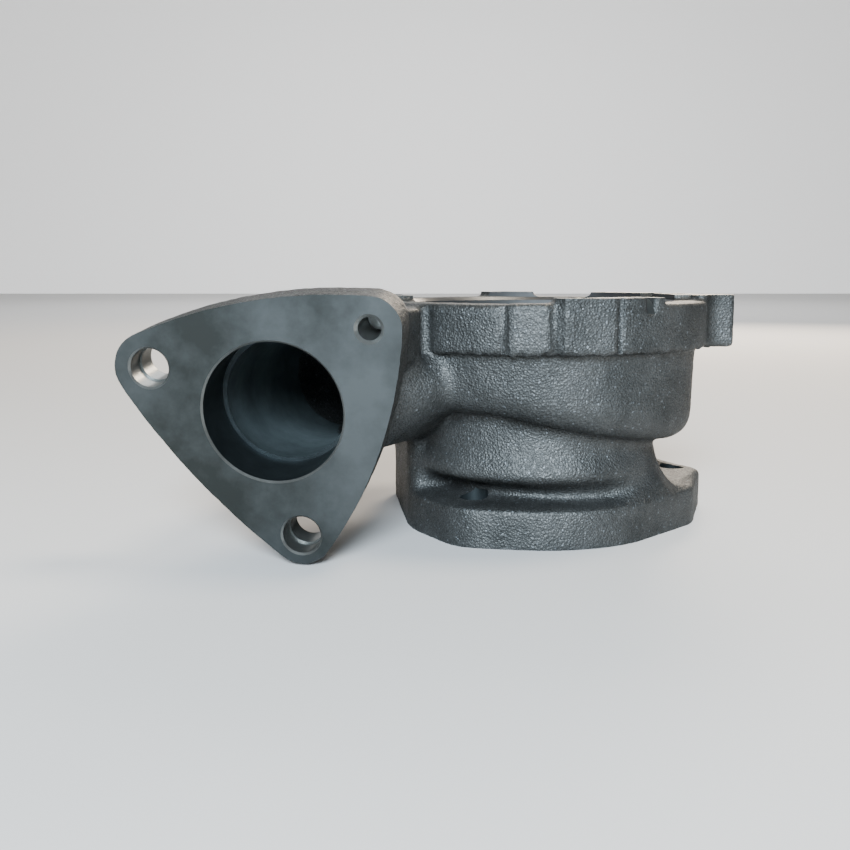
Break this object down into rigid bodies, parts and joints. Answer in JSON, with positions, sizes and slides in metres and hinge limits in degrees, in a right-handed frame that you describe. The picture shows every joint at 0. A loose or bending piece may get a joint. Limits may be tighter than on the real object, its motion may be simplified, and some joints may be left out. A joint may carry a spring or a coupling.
{
  "type": "turbocharger turbine housing",
  "caption": "Cast-iron turbine housing with a scroll, a triangular inlet flange, a spigot rim for the centre housing and an outlet flange.",
  "frame": {"origin": "on the turbine axis, in the bottom face of the outlet flange", "axes": "+Z along the turbine axis towards the centre housing, +X to the square lug on the rim, and the inlet flange looks roughly along -Y at the -X side"},
  "size_m": [0.1979, 0.1499, 0.0839],
  "materials": {
    "iron": "sand-cast, with machined faces"
  },
  "bodies": {
    "root": {"turbine_housing": "iron"}
  },
  "joints": []
}
